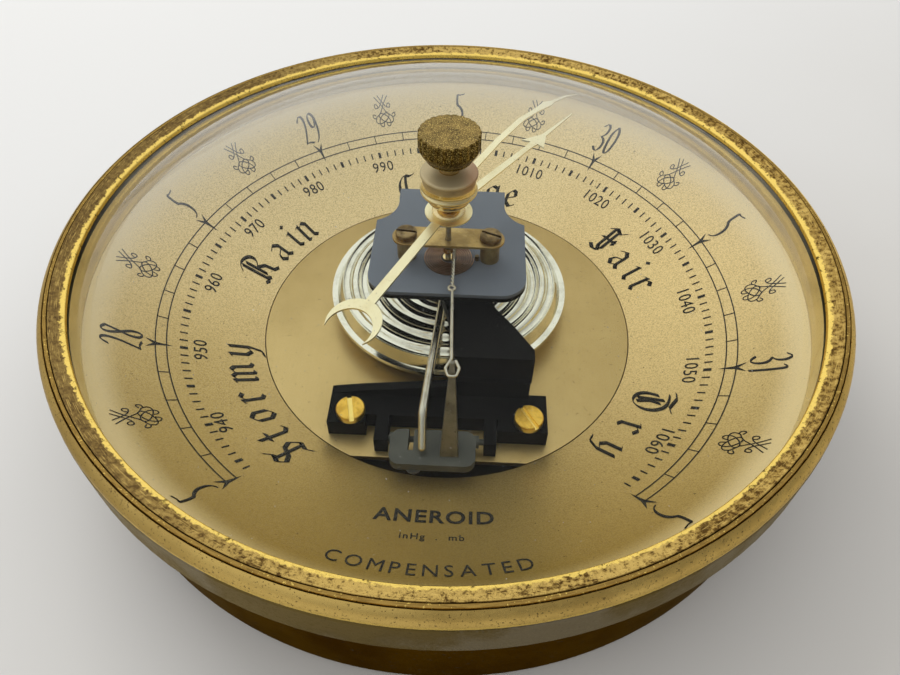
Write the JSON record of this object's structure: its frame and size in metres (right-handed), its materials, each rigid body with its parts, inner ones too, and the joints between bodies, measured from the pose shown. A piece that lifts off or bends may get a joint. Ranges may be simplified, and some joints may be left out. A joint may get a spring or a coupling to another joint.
{
  "type": "aneroid barometer",
  "caption": "Aneroid barometer with a round brass case, clear domed crystal, hollow dial, open lever movement, pressure hand and a set hand turned by a knurled knob.",
  "frame": {"origin": "middle of the flat back of the case, which is the face it rests on", "axes": "+Z out of the crystal along the dial's axis; +Y towards the top of the dial (12 o'clock); +X towards its right side"},
  "size_m": [0.125, 0.125, 0.0453],
  "materials": {
    "drum_brass": "satin, dark olive brass",
    "bezel_brass": "bright brass worn and speckled brown",
    "dial_gold": "satin gold",
    "plate_gold": "matt gold",
    "clear_acrylic": "clear, polished",
    "black_rubber": "matt",
    "black_plastic": "black, matt on the crossbar, glossy on the upper platform",
    "grey_plastic": "grey, moulded",
    "grey_steel": "plain steel",
    "capsule_silver": "silvered, corrugated",
    "copper_spring": "copper",
    "hand_brass": "pale satin brass",
    "knob_brass": "tarnished brass",
    "polished_brass": "polished",
    "dial_ink": "dark printed marks"
  },
  "bodies": {
    "case": {"case_drum": "drum_brass", "dial_sleeve": "grey_steel", "dial": "dial_gold", "spacer_ring": "bezel_brass", "crystal": "clear_acrylic", "crystal_gasket": "black_rubber", "bezel": "bezel_brass", "skirt_spring": "drum_brass", "base_plate": "plate_gold", "pillars": "polished_brass", "case_screws": "grey_steel", "plate_screws": "grey_steel", "bridge_frame": "black_plastic", "frame_screws": "polished_brass", "frame_nuts": "polished_brass", "capsule_upper": "capsule_silver", "capsule_lower": "capsule_silver", "capsule_stud": "polished_brass", "capsule_nut": "polished_brass", "hairspring": "copper_spring", "hairspring_stud": "polished_brass", "strip_posts": "black_plastic", "top_strip": "polished_brass", "strip_screws": "polished_brass"},
    "capsule_centre": {"capsule_boss": "polished_brass", "temperature_rod": "grey_steel"},
    "rocker": {"rocker_plate": "grey_plastic", "rocker_weight": "polished_brass", "rocker_pin": "grey_steel", "rocker_lever": "grey_plastic"},
    "pull": {"pull_wire": "grey_steel", "pull_chain": "grey_steel"},
    "arbor": {"arbor": "grey_steel", "chain_drum": "polished_brass", "hairspring_collet": "polished_brass", "indicator_hand": "hand_brass", "hand_cap": "polished_brass", "hand_bush": "polished_brass"},
    "set_knob": {"set_hand": "hand_brass", "set_collar": "polished_brass", "set_boss": "polished_brass", "set_shaft": "polished_brass", "knob": "knob_brass", "knob_washer": "knob_brass"},
    "zero_screw": {"zero_screw": "grey_steel"}
  },
  "joints": [
    {"name": "rocker_pivot", "type": "hinge", "parent": "case", "child": "rocker", "pos_m": [0, -0.0276, 0.008], "axis": [1, 0, 0], "range_deg": [-11.8, 7.73]},
    {"name": "capsule_rise", "type": "slide", "parent": "case", "child": "capsule_centre", "axis": [0, 0, 1], "range_m": [-0.00045, 0.0007]},
    {"name": "pull_slide", "type": "slide", "parent": "case", "child": "pull", "axis": [0, -1, 0], "range_m": [-0.0029, 0.0019]},
    {"name": "hand_turn", "type": "hinge", "parent": "case", "child": "arbor", "pos_m": [0, 0, 0.0308], "axis": [0, 0, 1], "range_deg": [-114.5, 174.5]},
    {"name": "set_knob_turn", "type": "hinge", "parent": "case", "child": "set_knob", "pos_m": [0, 0, 0.0405], "axis": [0, 0, 1], "continuous": true},
    {"name": "zero_screw_turn", "type": "hinge", "parent": "case", "child": "zero_screw", "pos_m": [0, 0.005, 0.002], "axis": [0, 0, 1], "continuous": true}
  ],
  "couplings": [
    {"joint": "capsule_rise", "follows": "rocker_pivot", "m_per_rad": -0.0033},
    {"joint": "pull_slide", "follows": "rocker_pivot", "m_per_rad": 0.014},
    {"joint": "hand_turn", "follows": "rocker_pivot", "ratio": -14.737}
  ]
}
